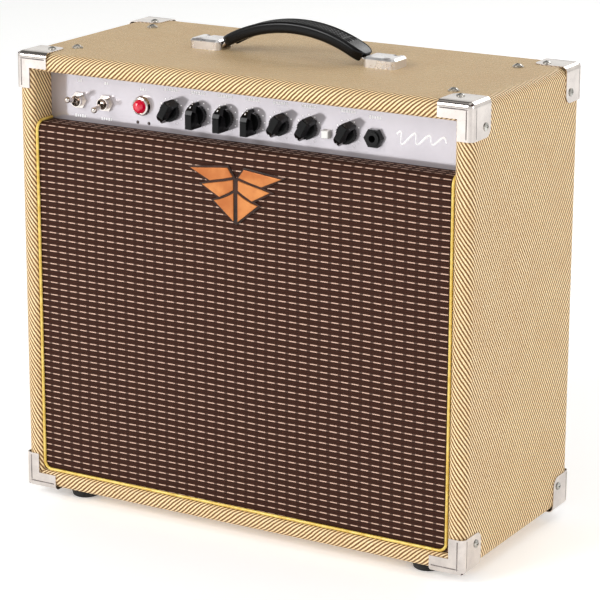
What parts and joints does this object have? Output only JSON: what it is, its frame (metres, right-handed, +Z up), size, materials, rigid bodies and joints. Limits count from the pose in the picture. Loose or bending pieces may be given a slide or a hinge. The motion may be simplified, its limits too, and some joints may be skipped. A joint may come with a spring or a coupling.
{
  "type": "guitar amplifier",
  "caption": "Open-backed valve combo guitar amplifier with a tweed case, woven grille, recessed control panel, metal corners and a strap handle.",
  "frame": {"origin": "on the floor under the middle of the case", "axes": "X to the right seen from the front, Y from front to back, Z up"},
  "size_m": [0.486, 0.227, 0.477],
  "materials": {
    "tweed": "diagonal cream and brown woven stripe, lacquered",
    "plywood": "bare birch plywood",
    "black_wood": "black stained board",
    "grille_cloth": "dark brown woven cloth with pale dashes",
    "gold_piping": "gold vinyl piping",
    "badge_metal": "copper-gold brushed ornament",
    "nickel": "polished nickel plate",
    "screw_steel": "plated steel",
    "black_rubber": "moulded rubber",
    "strap_vinyl": "black moulded vinyl with a woven grain",
    "panel_silver": "satin silver, white printing",
    "chassis_steel": "zinc-plated steel sheet",
    "board_green": "solder-masked glass laminate",
    "transformer_black": "black enamel",
    "capacitor_blue": "sleeved can",
    "socket_ceramic": "unglazed ceramic",
    "tube_glass": "clear glass",
    "pot_metal": "plated can",
    "knob_black": "moulded phenolic",
    "jewel_red": "faceted red jewel",
    "led_dark": "small domed lamp",
    "switch_black": "moulded switch body",
    "button_white": "white moulded button",
    "jack_black": "moulded nylon",
    "basket_grey": "painted pressed steel",
    "magnet_steel": "painted magnet and plates",
    "cone_paper": "ribbed paper",
    "surround_cloth": "treated cloth",
    "spider_cloth": "varnished corrugated cloth",
    "lead_jacket": "two-core speaker lead"
  },
  "bodies": {
    "cabinet": {"cabinet_top": "plywood", "cabinet_bottom": "plywood", "cabinet_left": "plywood", "cabinet_right": "plywood", "tweed_covering": "tweed", "cabinet_battens": "plywood", "baffle_board": "black_wood", "grille_frame": "black_wood", "grille_cloth": "grille_cloth", "grille_piping": "gold_piping", "front_badge": "badge_metal", "corner_protectors": "nickel", "case_screws": "screw_steel", "rubber_feet": "black_rubber", "handle_cap_left": "nickel", "handle_cap_right": "nickel", "handle_screws": "screw_steel", "chassis_bolts": "screw_steel", "chassis_tray": "chassis_steel", "control_panel": "panel_silver", "circuit_board": "board_green", "power_transformer": "transformer_black", "output_transformer": "transformer_black", "filter_capacitors": "capacitor_blue", "tube_sockets": "socket_ceramic", "power_tubes": "tube_glass", "preamp_tubes": "tube_glass", "potentiometers": "pot_metal", "toggle_switches": "nickel", "pilot_lamp_bezel": "nickel", "pilot_jewel": "jewel_red", "channel_leds": "led_dark", "boost_switch_body": "switch_black", "input_jack": "jack_black", "speaker_basket": "basket_grey", "speaker_magnet": "magnet_steel", "speaker_surround": "surround_cloth", "speaker_spider": "spider_cloth", "speaker_screws": "screw_steel", "back_panel_upper": "tweed", "back_panel_lower": "tweed", "back_panel_screws": "screw_steel", "mains_inlet": "switch_black", "fuse_holder": "switch_black", "rear_jacks": "jack_black", "speaker_lead": "lead_jacket"},
    "handle": {"handle_strap": "strap_vinyl", "handle_links": "nickel"},
    "power_lever": {"power_lever": "nickel"},
    "standby_lever": {"standby_lever": "nickel"},
    "boost_button": {"boost_button": "button_white"},
    "speaker_cone": {"speaker_cone": "cone_paper"},
    "fuse_cap": {"fuse_cap": "jack_black"},
    "knob_reverb": {"knob_reverb": "knob_black"},
    "knob_treble": {"knob_treble": "knob_black"},
    "knob_middle": {"knob_middle": "knob_black"},
    "knob_bass": {"knob_bass": "knob_black"},
    "knob_post": {"knob_post": "knob_black"},
    "knob_pre": {"knob_pre": "knob_black"},
    "knob_volume": {"knob_volume": "knob_black"}
  },
  "joints": [
    {"name": "handle_lift", "type": "slide", "parent": "cabinet", "child": "handle", "axis": [0, 0, 1], "range_m": [0, 0.002]},
    {"name": "reverb_turn", "type": "hinge", "parent": "cabinet", "child": "knob_reverb", "pos_m": [-0.0865, -0.0825, 0.3965], "axis": [0, 1, 0], "range_deg": [0, 300]},
    {"name": "treble_turn", "type": "hinge", "parent": "cabinet", "child": "knob_treble", "pos_m": [-0.057, -0.0825, 0.3965], "axis": [0, 1, 0], "range_deg": [-150, 150]},
    {"name": "middle_turn", "type": "hinge", "parent": "cabinet", "child": "knob_middle", "pos_m": [-0.0275, -0.0825, 0.3965], "axis": [0, 1, 0], "range_deg": [-150, 150]},
    {"name": "bass_turn", "type": "hinge", "parent": "cabinet", "child": "knob_bass", "pos_m": [0.002, -0.0825, 0.3965], "axis": [0, 1, 0], "range_deg": [-150, 150]},
    {"name": "post_turn", "type": "hinge", "parent": "cabinet", "child": "knob_post", "pos_m": [0.0315, -0.0825, 0.3965], "axis": [0, 1, 0], "range_deg": [0, 300]},
    {"name": "pre_turn", "type": "hinge", "parent": "cabinet", "child": "knob_pre", "pos_m": [0.061, -0.0825, 0.3965], "axis": [0, 1, 0], "range_deg": [0, 300]},
    {"name": "volume_turn", "type": "hinge", "parent": "cabinet", "child": "knob_volume", "pos_m": [0.1015, -0.0825, 0.3965], "axis": [0, 1, 0], "range_deg": [0, 300]},
    {"name": "power_throw", "type": "hinge", "parent": "cabinet", "child": "power_lever", "pos_m": [-0.189, -0.0875, 0.3965], "axis": [1, 0, 0], "range_deg": [0, 24]},
    {"name": "standby_throw", "type": "hinge", "parent": "cabinet", "child": "standby_lever", "pos_m": [-0.159, -0.0875, 0.3965], "axis": [1, 0, 0], "range_deg": [-24, 0]},
    {"name": "boost_press", "type": "slide", "parent": "cabinet", "child": "boost_button", "axis": [0, 1, 0], "range_m": [0, 0.003], "stiffness_N_per_m": 300, "springref_m": -0.002},
    {"name": "cone_stroke", "type": "slide", "parent": "cabinet", "child": "speaker_cone", "axis": [0, 1, 0], "range_m": [-0.004, 0.004], "stiffness_N_per_m": 2500, "deforming": ["speaker_surround", "speaker_spider"]},
    {"name": "fuse_cap_turn", "type": "hinge", "parent": "cabinet", "child": "fuse_cap", "pos_m": [0.118, 0.082, 0.398], "axis": [0, 1, 0], "range_deg": [0, 90]}
  ]
}
